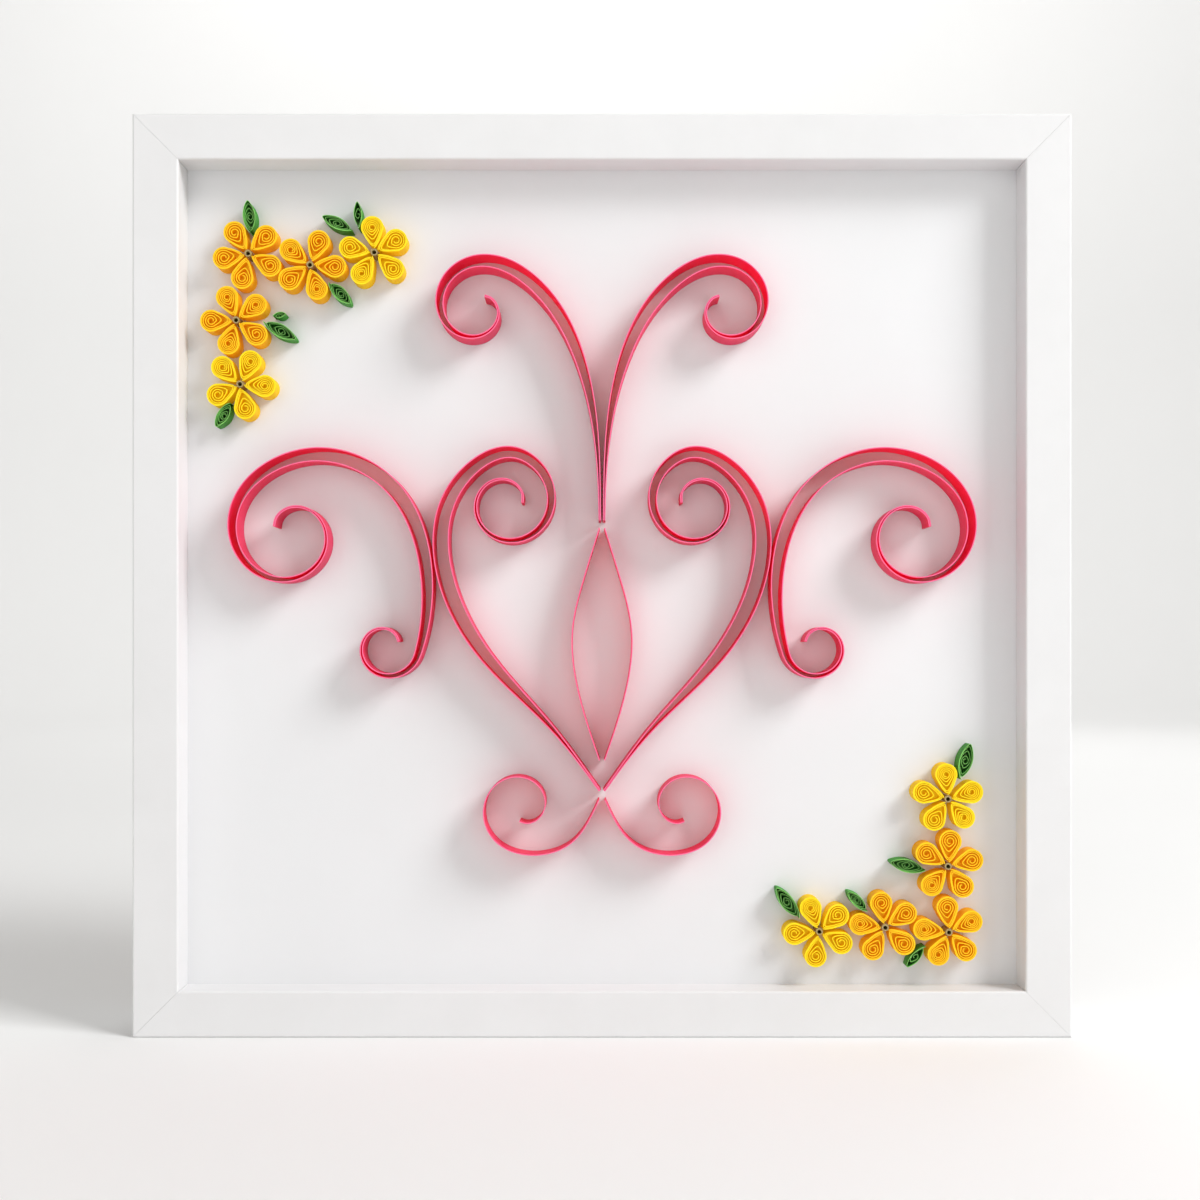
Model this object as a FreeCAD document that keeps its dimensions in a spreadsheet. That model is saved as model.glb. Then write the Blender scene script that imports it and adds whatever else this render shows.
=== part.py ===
import FreeCAD, Part
import Sketcher
import math
import os

# Framed quilled paper art: a white box frame round a white mount board, with rolled paper
# flowers and leaves in two corners and a scroll ornament of card strips on edge between them.
# X is to the right, Z is up and the front looks along -Y. The frame stands on Z = 0.

VALUES = [
    # Moulding of the frame
    ("opening_width", 275.0),
    ("opening_height", 270.0),
    ("rail_face", 15.0),
    ("frame_depth", 30.0),
    ("recess", 11.0),
    ("rebate_width", 6.0),
    ("edge_round", 0.7),
    # Boards in the rebate
    ("mount_thickness", 2.0),
    ("backing_thickness", 3.0),
    ("board_play", 0.5),
    # V-nails across the mitres
    ("v_nail_wing", 5.0),
    ("v_nail_thickness", 0.5),
    ("v_nail_depth", 7.0),
    ("v_nail_inset", 3.2),
    # Framer's points over the backing board
    ("point_length", 14.0),
    ("point_width", 6.0),
    ("point_thickness", 0.5),
    ("point_grip", 5.0),
    ("point_spread", 150.0),
    ("seat_clearance", 0.05),
    # Sawtooth hanger and its nails
    ("hanger_length", 45.0),
    ("hanger_width", 7.5),
    ("hanger_thickness", 0.8),
    ("hanger_lift", 1.0),
    ("hanger_tab", 7.0),
    ("hanger_slope", 1.2),
    ("tooth_pitch", 3.0),
    ("tooth_depth", 1.5),
    ("tooth_count", 9),
    ("nail_radius", 0.7),
    ("nail_length", 9.0),
    ("nail_head_radius", 1.6),
    ("nail_head_thickness", 0.6),
    # Wall bumpers
    ("bumper_radius", 3.8),
    ("bumper_height", 2.0),
    ("bumper_round", 0.9),
    ("bumper_inset", 14.0),
    # Rolled paper flowers and leaves
    ("roll_height", 6.4),
    ("paper_thickness", 0.2),
    ("flower_radius", 12.0),
    ("petal_spacing", 2.1),
    ("petal_open_turns", 4),
    ("petal_rim_turns", 3),
    ("petal_eye", 0.7),
    ("rim_pitch", 0.27),
    ("centre_radius", 1.2),
    ("centre_bore", 0.65),
    ("centre_paper", 0.12),
    ("centre_turns", 2),
    ("petal_foot_gap", 0.15),
    ("leaf_turns", 4),
    ("leaf_eye", 0.5),
    # Card strips of the scroll ornament
    ("strip_height", 10.0),
    ("strip_thickness", 0.35),
    ("glue_gap", 0.1),
    ("swell", 2.3),
    ("side_margin", 10.5),
    ("top_margin", 27.0),
]

# A flower stands at so many flower radii from its corner of the opening, across and up or
# down, and its petals point at these angles in degrees.
TOP_LEFT_FLOWERS = [
    (1.79, 2.44, (123, 44, -29, -104, -170)),
    (3.48, 2.75, (142, 70, -4, -74, -145)),
    (5.24, 2.41, (168, 95, 29, -41, -121)),
    (1.47, 4.26, (181, 112, 38, -35, -108)),
    (1.57, 6.01, (136, 66, -4, -78, -155)),
]
BOTTOM_RIGHT_FLOWERS = [
    (2.01, 5.16, (165, 94, 16, -49, -123)),
    (2.01, 3.32, (149, 85, 14, -54, -131)),
    (1.98, 1.52, (173, 94, 25, -47, -115)),
    (3.72, 1.65, (172, 99, 34, -41, -119)),
    (5.52, 1.54, (185, 110, 41, -27, -98)),
]

# A leaf grows from a flower: the flower's number, the bearing in degrees and the distance in
# flower radii of its foot from the flower's centre, its heading in degrees, and its length and
# width in millimetres.
LEAVES = [
    (1, 83, 0.54, 96, 11.9, 4.2),
    (3, 133, 0.82, 155, 12.2, 4.1),
    (3, 127, 0.75, 93, 10.4, 3.0),
    (2, -41, 0.66, -45, 10.6, 4.3),
    (4, 1, 0.70, -29, 13.2, 4.5),
    (4, 7, 0.98, 14, 4.8, 2.0),
    (5, -116, 0.54, -123, 10.0, 3.9),
    (6, 54, 0.60, 75, 13.3, 4.7),
    (7, 191, 0.57, 168, 12.9, 4.4),
    (9, 137, 0.62, 136, 9.9, 3.6),
    (8, 211, 0.68, 228, 10.4, 3.2),
    (10, 149, 0.61, 127, 13.6, 4.6),
]

# The scroll ornament is drawn for this width and height, and takes its real size from the
# opening and its margins.
DRAWN_WIDTH = 254.0
DRAWN_HEIGHT = 216.0

# Each stroke of the right half: the points that its middle line passes, the curl at its end
# and, where it has one, the curl at its start. A curl is the heading in degrees, the turn's
# side (1 is to the left), its first and last radius and its number of turns.
HEART = {
    "points": [(0.7, -70.0), (16.0, -50.0), (38.0, -26.0), (51.5, 2.0), (47.5, 29.0), (28.0, 40.0)],
    "end_curl": (196.0, 1, 16.5, 5.0, 1.25),
    "start_curl": None,
    "peak": 0.38,
    "swell_share": 1.0,
}
SIDE = {
    "points": [(59.5, -24.0), (57.3, 2.0), (68.5, 29.0), (93.0, 39.5), (117.0, 27.0)],
    "end_curl": (-56.0, -1, 20.0, 5.0, 1.1),
    "start_curl": (-80.0, 1, 11.0, 4.5, 0.95),
    "peak": 0.42,
    "swell_share": 0.92,
}
PLUME = {
    "points": [(0.7, 18.0), (1.6, 42.0), (7.0, 70.0), (21.0, 94.0), (37.0, 102.5)],
    "end_curl": (6.0, -1, 15.5, 4.0, 1.0),
    "start_curl": None,
    "peak": 0.52,
    "swell_share": 0.85,
}
TAIL = {
    "points": [(1.2, -73.0), (11.0, -87.5), (28.0, -90.0)],
    "end_curl": (14.0, 1, 14.5, 4.0, 1.05),
    "start_curl": None,
    "peak": 0.5,
    "swell_share": 0.0,
}
ALMOND = {
    "points": [(0.7, -60.0), (7.5, -38.0), (9.5, -18.0), (5.5, 0.0), (0.7, 15.5)],
    "end_curl": None,
    "start_curl": None,
    "peak": 0.5,
    "swell_share": 0.0,
}
CURL_STEPS = 120
CURL_KEEP = 8
STROKE_ARCS = 60

# The petals that fit round a flower, the arcs round each turn of a roll, and how the turns
# change on their way out: soft round the eye, sharp at the rim, with their points gathered at
# the sharp ends.
PETALS = 5
PETAL_ARCS = 3
ROLL_ARCS = 4
SHORTEST_SIDE = 0.3
RIM_SOFTNESS = 0.03
EYE_SOFTNESS = 0.25
DRAWING_OUT = 1.15
GATHERING = 0.8

# A leaf narrower than this many millimetres has half the turns, and its eye is at most this
# share of its width.
NARROW_LEAF = 3.5
EYE_SHARE = 0.125

# Lengths under this are nothing, and a drill goes this far past what it cuts.
NEAR = 1e-4
OVERSHOOT = 1.0

doc = FreeCAD.newDocument("quilled_art")
sheet = doc.addObject("Spreadsheet::Sheet", "Values")
for row, (alias, default) in enumerate(VALUES, start=1):
    sheet.set("A%d" % row, alias)
    sheet.set("B%d" % row, str(default))
    sheet.setAlias("B%d" % row, alias)
doc.recompute()

NODES = []


def value(alias):
    return float(getattr(sheet, alias))


def bound(text):
    """The expression with each alias of the sheet named in full."""
    words = {alias for alias, default in VALUES}
    out = []
    word = ""
    for letter in text + " ":
        if letter.isalnum() or letter == "_":
            word += letter
            continue
        out.append("Values." + word if word in words else word)
        out.append(letter)
        word = ""
    return "".join(out).strip()


def number(text):
    """What an expression on the sheet's aliases comes to now."""
    result = sheet.evalExpression(bound(text))
    return float(getattr(result, "Value", result))


def node(obj, label):
    obj.Label = label
    NODES.append(obj)
    return obj


# Places that several pieces share, as expressions on the sheet

OUTER_WIDTH = "(opening_width + 2 * rail_face)"
OUTER_HEIGHT = "(opening_height + 2 * rail_face)"
FRONT = "(-(frame_depth + bumper_height) / 2)"
BACK = "(%s + frame_depth)" % FRONT
SHOULDER = "(%s + recess)" % FRONT
MOUNT_BACK = "(%s + mount_thickness)" % SHOULDER
BACKING_BACK = "(%s + backing_thickness)" % MOUNT_BACK
CENTRE_HEIGHT = "(rail_face + opening_height / 2)"
REBATE_X = "(opening_width / 2 + rebate_width)"
REBATE_LOW = "(rail_face - rebate_width)"
REBATE_HIGH = "(rail_face + opening_height + rebate_width)"
NAIL_LINE = "(%s - (rail_face - rebate_width) / 2)" % OUTER_HEIGHT


def place(obj, x, y, z):
    for axis, text in zip("xyz", (x, y, z)):
        obj.setExpression("Placement.Base." + axis, bound(text))


def box(name, size, corner):
    """A box whose size and lowest corner are expressions."""
    obj = doc.addObject("Part::Box", name)
    for side, text in zip(("Length", "Width", "Height"), size):
        obj.setExpression(side, bound(text))
    place(obj, *corner)
    return obj


def rod(name, radius, length, start, towards_back=True):
    """A cylinder along Y from its start."""
    obj = doc.addObject("Part::Cylinder", name)
    obj.setExpression("Radius", bound(radius))
    obj.setExpression("Height", bound(length))
    turn = -90 if towards_back else 90
    obj.Placement = FreeCAD.Placement(
        FreeCAD.Vector(0, 0, 0), FreeCAD.Rotation(FreeCAD.Vector(1, 0, 0), turn)
    )
    place(obj, *start)
    return obj


def compound(name, parts):
    obj = doc.addObject("Part::Compound", name)
    obj.Links = parts
    return obj


def cut(name, base, tool):
    obj = doc.addObject("Part::Cut", name)
    obj.Base = base
    obj.Tool = tool
    return obj


def origin_plane(body, role):
    for feature in body.Origin.OriginFeatures:
        if feature.Role == role:
            return feature
    raise ValueError("no plane " + role)


def outline_sketch(body, name, role, loops):
    """A sketch of closed loops whose corners are pairs of expressions."""
    sketch = body.newObject("Sketcher::SketchObject", name)
    sketch.AttachmentSupport = (origin_plane(body, role), [""])
    sketch.MapMode = "FlatFace"
    for corners in loops:
        first = sketch.GeometryCount
        spots = [FreeCAD.Vector(number(across), number(up), 0) for across, up in corners]
        for spot, following in zip(spots, spots[1:] + spots[:1]):
            sketch.addGeometry(Part.LineSegment(spot, following), False)
        for step, (across, up) in enumerate(corners):
            line = first + step
            after = first + (step + 1) % len(corners)
            sketch.addConstraint(Sketcher.Constraint("Coincident", line, 2, after, 1))
            for kind, text in (("DistanceX", across), ("DistanceY", up)):
                index = sketch.addConstraint(
                    Sketcher.Constraint(kind, -1, 1, line, 1, number(text))
                )
                label = "%s_%d" % (kind, line)
                sketch.renameConstraint(index, label)
                sketch.setExpression("Constraints." + label, bound(text))
    return sketch


def add_feature(body, kind, name, sketch, **settings):
    feature = body.newObject(kind, name)
    feature.Profile = (sketch, [""])
    for setting, setting_value in settings.items():
        setattr(feature, setting, setting_value)
    return feature


# Rails of the frame: one rebated section, run along each side and mitred at both ends


def rail_section(inner, outward):
    """Corners of the section, as depth and height across the rail from its inner edge."""
    def across(distance):
        return "%s %s %s" % (inner, outward, distance)

    return [
        (FRONT, across("0")),
        (FRONT, across("rail_face")),
        (BACK, across("rail_face")),
        (BACK, across("rebate_width")),
        (SHOULDER, across("rebate_width")),
        (SHOULDER, across("0")),
    ]


def mitre_corners(side):
    """The two triangles that are cut from a rail's ends, seen from the front."""
    left = "-%s / 2" % OUTER_WIDTH
    right = "%s / 2" % OUTER_WIDTH
    inner_left = "-opening_width / 2"
    inner_right = "opening_width / 2"
    low = "0"
    inner_low = "rail_face"
    inner_high = "rail_face + opening_height"
    high = OUTER_HEIGHT
    corners = {
        "bottom": [
            [(left, low), (inner_left, inner_low), (left, inner_low)],
            [(right, low), (right, inner_low), (inner_right, inner_low)],
        ],
        "top": [
            [(left, high), (left, inner_high), (inner_left, inner_high)],
            [(right, high), (inner_right, inner_high), (right, inner_high)],
        ],
        "left": [
            [(left, low), (inner_left, low), (inner_left, inner_low)],
            [(left, high), (inner_left, inner_high), (inner_left, high)],
        ],
        "right": [
            [(right, low), (inner_right, inner_low), (inner_right, low)],
            [(right, high), (inner_right, high), (inner_right, inner_high)],
        ],
    }
    return corners[side]


def front_edges(shape):
    """Names of the long edges on the front face, which are rounded."""
    front = number(FRONT)
    names = []
    for index, edge in enumerate(shape.Edges, start=1):
        on_front = all(abs(vertex.Point.y - front) < NEAR for vertex in edge.Vertexes)
        start, end = edge.Vertexes[0].Point, edge.Vertexes[-1].Point
        slanted = abs(end.x - start.x) > NEAR and abs(end.z - start.z) > NEAR
        if on_front and not slanted:
            names.append("Edge%d" % index)
    return names


def rail(side):
    body = doc.addObject("PartDesign::Body", side + "_rail_blank")
    lying = side in ("top", "bottom")
    if lying:
        inner = "rail_face" if side == "bottom" else "rail_face + opening_height"
        section = rail_section(inner, "-" if side == "bottom" else "+")
        sketch = outline_sketch(body, side + "_section", "YZ_Plane", [section])
        pad = add_feature(body, "PartDesign::Pad", side + "_run", sketch, SideType="Symmetric")
        pad.setExpression("Length", bound(OUTER_WIDTH))
    else:
        inner = "-opening_width / 2" if side == "left" else "opening_width / 2"
        section = rail_section(inner, "-" if side == "left" else "+")
        section = [(across, depth) for depth, across in section]
        sketch = outline_sketch(body, side + "_section", "XY_Plane", [section])
        pad = add_feature(body, "PartDesign::Pad", side + "_run", sketch)
        pad.setExpression("Length", bound(OUTER_HEIGHT))
    ends = outline_sketch(body, side + "_ends", "XZ_Plane", mitre_corners(side))
    mitre = add_feature(
        body, "PartDesign::Pocket", side + "_mitre", ends, SideType="Symmetric", Type="ThroughAll"
    )
    doc.recompute()
    softened = body.newObject("PartDesign::Fillet", side + "_softened")
    softened.Base = (mitre, front_edges(mitre.Shape))
    softened.setExpression("Radius", bound("edge_round"))
    return body


# Fasteners, each with the seat that it takes in the wood


def v_nail_wings(name, across, up, grow):
    """Two wings from a point on the mitre, one along each rail, grown all round."""
    spot_x = "%s (%s / 2 - v_nail_inset)" % ("-" if across < 0 else "", OUTER_WIDTH)
    spot_z = "%s - v_nail_inset" % OUTER_HEIGHT if up > 0 else "v_nail_inset"
    thin = "v_nail_thickness + 2 * %s" % grow
    long = "v_nail_wing + v_nail_thickness / 2 + 2 * %s" % grow
    deep = "v_nail_depth + %s" % grow
    half = "v_nail_thickness / 2 + %s" % grow
    low_y = "%s - v_nail_depth - %s" % (BACK, grow)
    lying_x = "%s - (%s)" % (spot_x, half) if across < 0 else "%s + %s - (%s)" % (spot_x, half, long)
    upright_z = "%s - (%s)" % (spot_z, half) if up < 0 else "%s + %s - (%s)" % (spot_z, half, long)
    lying = box(name + "_lying", (long, deep, thin), (lying_x, low_y, "%s - (%s)" % (spot_z, half)))
    upright = box(name + "_upright", (thin, deep, long), ("%s - (%s)" % (spot_x, half), low_y, upright_z))
    both = doc.addObject("Part::Fuse", name)
    both.Base = lying
    both.Tool = upright
    return both


def v_nails(name, grow):
    return [
        v_nail_wings("%s_%d" % (name, index), across, up, grow)
        for index, (across, up) in enumerate(((-1, -1), (1, -1), (-1, 1), (1, 1)), start=1)
    ]


def framer_points(name, grow):
    """Flat points, two on each rail, half in the wood and half over the backing board."""
    long = "point_length + %s" % grow
    wide = "point_width + 2 * %s" % grow
    thick = "point_thickness + 2 * %s" % grow
    low_y = "%s - %s" % (BACKING_BACK, grow)
    points = []
    for sign in "-+":
        start = "%s point_spread / 2 - point_width / 2 - %s" % (sign, grow)
        upright = "%s %s point_spread / 2 - point_width / 2 - %s" % (CENTRE_HEIGHT, sign, grow)
        lows = [
            ((start, low_y, "%s - point_grip - %s" % (REBATE_LOW, grow)), (wide, thick, long)),
            ((start, low_y, "%s + point_grip - point_length" % REBATE_HIGH), (wide, thick, long)),
            (("-%s - point_grip - %s" % (REBATE_X, grow), low_y, upright), (long, thick, wide)),
            (("%s + point_grip - point_length" % REBATE_X, low_y, upright), (long, thick, wide)),
        ]
        for corner, size in lows:
            points.append(box("%s_%d" % (name, len(points) + 1), size, corner))
    return points


def nail_spots():
    tab_middle = "(hanger_length / 2 - hanger_tab / 2)"
    return ["-" + tab_middle, tab_middle]


def hanger_nails():
    """Two short nails through the hanger's tabs into the top rail."""
    nails = []
    for index, spot in enumerate(nail_spots(), start=1):
        under_head = "%s + hanger_thickness" % BACK
        shank = rod(
            "nail_shank_%d" % index, "nail_radius", "nail_length", (spot, under_head, NAIL_LINE), False
        )
        head = rod(
            "nail_head_%d" % index, "nail_head_radius", "nail_head_thickness",
            (spot, under_head, NAIL_LINE),
        )
        nail = doc.addObject("Part::Fuse", "nail_%d" % index)
        nail.Base = shank
        nail.Tool = head
        nails.append(nail)
    return nails


def nail_bores():
    depth = "nail_length - hanger_thickness + seat_clearance"
    return [
        rod(
            "nail_bore_%d" % index, "nail_radius + seat_clearance", depth,
            (spot, BACK, NAIL_LINE), False,
        )
        for index, spot in enumerate(nail_spots(), start=1)
    ]


def hanger():
    """A strip bent up between two tabs, with teeth along its lower edge."""
    body = doc.addObject("PartDesign::Body", "sawtooth_hanger")
    end = "hanger_length / 2"
    bend = "(hanger_length / 2 - hanger_tab)"
    raised = "(%s - hanger_slope)" % bend
    flat, over = BACK, "%s + hanger_thickness" % BACK
    lift, top = "%s + hanger_lift" % BACK, "%s + hanger_lift + hanger_thickness" % BACK
    half = [(end, flat), (end, over), (bend, over), (raised, top)]
    mirrored = [("-" + across, depth) for across, depth in reversed(half)]
    under = [("-" + bend, flat), ("-" + raised, lift), (raised, lift), (bend, flat)]
    strip = outline_sketch(body, "hanger_strip", "XY_Plane", [half + mirrored + under])
    pad = add_feature(body, "PartDesign::Pad", "hanger_bar", strip)
    pad.setExpression("Length", bound("hanger_width"))
    start = "-tooth_count * tooth_pitch / 2"
    tooth = [
        (start, "0"),
        ("%s + tooth_pitch" % start, "0"),
        ("%s + tooth_pitch / 2" % start, "tooth_depth"),
    ]
    notch = outline_sketch(body, "hanger_notch", "XZ_Plane", [tooth])
    pocket = add_feature(
        body, "PartDesign::Pocket", "first_notch", notch, SideType="Symmetric", Type="ThroughAll"
    )
    doc.recompute()
    row = body.newObject("PartDesign::LinearPattern", "notches")
    row.Originals = [pocket]
    row.Direction = (notch, ["H_Axis"])
    row.Mode = "Spacing"
    row.setExpression("Offset", bound("tooth_pitch"))
    row.setExpression("Occurrences", bound("tooth_count"))
    body.Tip = row
    place(body, "0", "0", "%s - hanger_width / 2" % NAIL_LINE)
    holes = compound(
        "hanger_holes",
        [
            rod(
                "hanger_hole_%d" % index, "nail_radius + seat_clearance",
                "hanger_thickness + 2 * %g" % OVERSHOOT, (spot, "%s - %g" % (BACK, OVERSHOOT), NAIL_LINE),
            )
            for index, spot in enumerate(nail_spots(), start=1)
        ],
    )
    body.Label = "hanger_blank"
    return cut("hanger_piece", body, holes)


def bumper(index, spot):
    disc = rod(
        "bumper_disc_%d" % index, "bumper_radius", "bumper_height",
        (spot, BACK, "(rail_face - rebate_width) / 2"),
    )
    doc.recompute()
    far = number(BACK) + value("bumper_height")
    rounded = doc.addObject("Part::Fillet", "bumper_%d" % index)
    rounded.Base = disc
    rounded.Edges = [
        (number_of_edge, value("bumper_round"), value("bumper_round"))
        for number_of_edge, edge in enumerate(disc.Shape.Edges, start=1)
        if all(abs(vertex.Point.y - far) < NEAR for vertex in edge.Vertexes)
        and edge.Length > math.pi * value("bumper_radius")
    ]
    return rounded


def build_frame():
    v_seats = v_nails("v_nail_seat", "seat_clearance")
    point_seats = framer_points("point_seat", "seat_clearance")
    bores = nail_bores()
    seats = compound("seats", v_seats + point_seats + bores)
    for side in ("top", "bottom", "left", "right"):
        node(cut(side + "_rail_cut", rail(side), seats), side + "_rail")
    board_width = "2 * (%s - board_play)" % REBATE_X
    board_height = "%s - %s - 2 * board_play" % (REBATE_HIGH, REBATE_LOW)
    low_x = "-(%s - board_play)" % REBATE_X
    low_z = "%s + board_play" % REBATE_LOW
    boards = (
        ("mount_board", "mount_thickness", SHOULDER),
        ("backing_board", "backing_thickness", MOUNT_BACK),
    )
    for label, thickness, front in boards:
        node(box(label + "_sheet", (board_width, thickness, board_height), (low_x, front, low_z)), label)
    node(compound("v_nail_set", v_nails("v_nail", "0")), "corner_v_nails")
    node(compound("point_set", framer_points("point", "0")), "framer_points")
    node(hanger(), "sawtooth_hanger")
    node(compound("nail_pair", hanger_nails()), "hanger_nails")
    bumper_x = "(%s / 2 - bumper_inset)" % OUTER_WIDTH
    bumpers = [bumper(index, sign + bumper_x) for index, sign in enumerate(("-", ""), start=1)]
    node(compound("bumper_pair", bumpers), "wall_bumpers")


# Walls of paper: two lines of points side by side, joined by arcs and straight runs, and the
# space between them raised from the board


def arcs_through(points, middles):
    """Edges along the points: an arc over each point that is an arc's middle, else a line."""
    edges = []
    index = 0
    while index < len(points) - 1:
        stride = 2 if index + 1 in middles else 1
        start, end = points[index], points[index + stride]
        middle = points[index + 1]
        if middle.distanceToLine(start, end - start) > NEAR:
            edges.append(Part.Arc(start, middle, end).toShape())
        else:
            edges.append(Part.LineSegment(start, end).toShape())
        index += stride
    return edges


def left_of(points):
    """At each point the step that takes the line one to its left, longer at a corner."""
    runs = [(after - point).normalize() for point, after in zip(points, points[1:])]
    normals = [FreeCAD.Vector(-run.z, 0, run.x) for run in runs]
    steps = []
    for before, after in zip(normals[:1] + normals, normals + normals[-1:]):
        both = before + after
        steps.append(both * (2 / both.dot(both)))
    return steps


def beside(points, distances):
    """The line of points moved to its left by a distance at each point."""
    return [point + step * distance for point, step, distance in zip(points, left_of(points), distances)]


def wall(near, far, middles, height):
    """The solid between two lines of points, raised from the board towards the front."""
    edges = arcs_through(near, middles) + arcs_through(far, middles)
    edges.append(Part.LineSegment(near[0], far[0]).toShape())
    edges.append(Part.LineSegment(near[-1], far[-1]).toShape())
    face = Part.Face(Part.Wire(Part.__sortEdges__(edges)))
    return face.extrude(FreeCAD.Vector(0, -height, 0))


# Rolled paper: spiral walls between an eye and an outline


def roll(turns, stations, reach, paper):
    """A spiral wall in its own frame.

    stations gives the bearings of one turn and which of them are middles of arcs, reach the
    distance from the eye, both for a share of the way out.
    """
    points = []
    middles = set()
    for turn in range(turns):
        for bearing, is_middle in stations(turn / turns):
            if is_middle:
                middles.add(len(points))
            distance = reach(bearing, (turn + bearing / (2 * math.pi)) / turns)
            points.append(FreeCAD.Vector(math.cos(bearing), 0, math.sin(bearing)) * distance)
    points.append(FreeCAD.Vector(reach(0.0, 1.0), 0, 0))
    outside = beside(points, [-paper] * len(points))
    return wall(points, outside, middles, value("roll_height"))


def even_stations(gathering, sharp_ends):
    """Bearings of a turn in even arcs, gathered at its sharp ends."""
    bearings = []
    for step in range(2 * ROLL_ARCS):
        angle = math.pi * step / ROLL_ARCS
        bearings.append((angle - gathering * math.sin(sharp_ends * angle) / sharp_ends, step % 2 == 1))
    return bearings


def petal_turn(share, round_radius, point_distance):
    """Radius, half angle of the point and softness of a petal's turn at a share of the way out."""
    open_turns = round(value("petal_open_turns"))
    rim_turns = round(value("petal_rim_turns"))
    eye = value("petal_eye")
    span = round_radius - value("paper_thickness") - rim_turns * value("rim_pitch") - eye
    gone = share * (open_turns + rim_turns)
    opened = min(gone / open_turns, 1.0)
    radius = eye + span * opened + max(gone - open_turns, 0.0) * value("rim_pitch")
    stretch = 1 + (point_distance / round_radius - 1) * opened ** DRAWING_OUT
    softness = RIM_SOFTNESS + EYE_SOFTNESS * (1 - opened)
    return radius, math.acos(1 / stretch), softness


def petal_roll(round_radius, point_distance):
    """A teardrop roll round its eye, with its point at bearing 0."""

    def stations(share):
        side = max(petal_turn(share, round_radius, point_distance)[1], SHORTEST_SIDE)
        step = (math.pi - side) / PETAL_ARCS
        round_end = [(side + step * index, index % 2 == 1) for index in range(2 * PETAL_ARCS + 1)]
        return [(0.0, False)] + round_end

    def reach(bearing, share):
        radius, half_angle, softness = petal_turn(share, round_radius, point_distance)
        away = math.hypot(math.remainder(bearing, 2 * math.pi), softness)
        return radius / math.cos(max(half_angle - away, 0.0))

    turns = round(value("petal_open_turns")) + round(value("petal_rim_turns"))
    return roll(turns, stations, reach, value("paper_thickness"))


def leaf_roll(length, width):
    """A marquise roll round its middle, its outline two arcs that meet in points at 0 and 180."""
    paper = value("paper_thickness")
    eye = min(value("leaf_eye"), width * EYE_SHARE)
    half_length = length / 2 - paper
    half_width = width / 2 - paper
    arc = (half_length ** 2 + half_width ** 2) / (2 * half_width)
    offset = arc - half_width

    def stations(share):
        return even_stations(GATHERING, 2)

    def reach(bearing, share):
        slant = offset * math.hypot(math.sin(bearing), RIM_SOFTNESS)
        rim = math.sqrt(arc ** 2 - offset ** 2 + slant ** 2) - slant
        return eye + (rim - eye) * share

    turns = value("leaf_turns") if width > NARROW_LEAF else value("leaf_turns") / 2
    return roll(round(turns), stations, reach, paper)


def centre_roll():
    """The small tight roll in a flower's middle."""
    bore = value("centre_bore")
    ring = value("centre_radius") - value("centre_paper") - bore

    def stations(share):
        return even_stations(0.0, 1)

    def reach(bearing, share):
        return bore + ring * share

    return roll(round(value("centre_turns")), stations, reach, value("centre_paper"))


def placed(shape, x, z, degrees):
    """A copy turned anticlockwise as seen from the front, then moved on to the mount board."""
    copy = shape.copy()
    copy.rotate(FreeCAD.Vector(0, 0, 0), FreeCAD.Vector(0, 1, 0), -degrees)
    copy.translate(FreeCAD.Vector(x, number(SHOULDER), z))
    return copy


def shape_node(label, shape):
    feature = doc.addObject("Part::Feature", label)
    feature.Shape = shape
    return node(feature, label)


def flower_places():
    """Each flower's centre and the angles of its petals."""
    radius = value("flower_radius")
    side = value("opening_width") / 2
    bottom = value("rail_face")
    top = bottom + value("opening_height")
    places = []
    for across, down, angles in TOP_LEFT_FLOWERS:
        places.append((across * radius - side, top - down * radius, angles))
    for across, up, angles in BOTTOM_RIGHT_FLOWERS:
        places.append((side - across * radius, bottom + up * radius, angles))
    return places


def build_flowers():
    radius = value("flower_radius")
    chord = math.sin(math.pi / PETALS)
    round_radius = (radius * chord - value("petal_spacing") / 2) / (1 + chord)
    eye_distance = radius - round_radius
    point_distance = eye_distance - value("centre_radius") - value("petal_foot_gap")
    petal = petal_roll(round_radius, point_distance)
    petal.rotate(FreeCAD.Vector(0, 0, 0), FreeCAD.Vector(0, 1, 0), 180)
    petal.translate(FreeCAD.Vector(eye_distance, 0, 0))
    centre = centre_roll()
    for index, (x, z, angles) in enumerate(flower_places(), start=1):
        petals = [placed(petal, x, z, angle) for angle in angles]
        shape_node("flower_%02d_petals" % index, Part.makeCompound(petals))
        shape_node("flower_%02d_centre" % index, placed(centre, x, z, angles[0]))


def build_leaves():
    flowers = flower_places()
    radius = value("flower_radius")
    for index, (flower, bearing, foot, heading, length, width) in enumerate(LEAVES, start=1):
        x, z, angles = flowers[flower - 1]
        out, along = math.radians(bearing), math.radians(heading)
        middle_x = x + foot * radius * math.cos(out) + length / 2 * math.cos(along)
        middle_z = z + foot * radius * math.sin(out) + length / 2 * math.sin(along)
        leaf = placed(leaf_roll(length, width), middle_x, middle_z, heading)
        shape_node("leaf_%02d" % index, leaf)


# Scroll ornament: card strips on edge, most of them in pairs that swell apart and close again


def curl_points(start, curl, unit):
    """Points along a curl that begins at a heading and tightens evenly."""
    heading, side, first, last, turns = curl
    sweep = 2 * math.pi * turns
    x, z = start
    points = []
    for step in range(1, CURL_STEPS + 1):
        share = (step - 0.5) / CURL_STEPS
        angle = math.radians(heading) + side * sweep * share
        stride = (first + (last - first) * share) * unit * sweep / CURL_STEPS
        x += stride * math.cos(angle)
        z += stride * math.sin(angle)
        if step % CURL_KEEP == 0:
            points.append((x, z))
    return points


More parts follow.
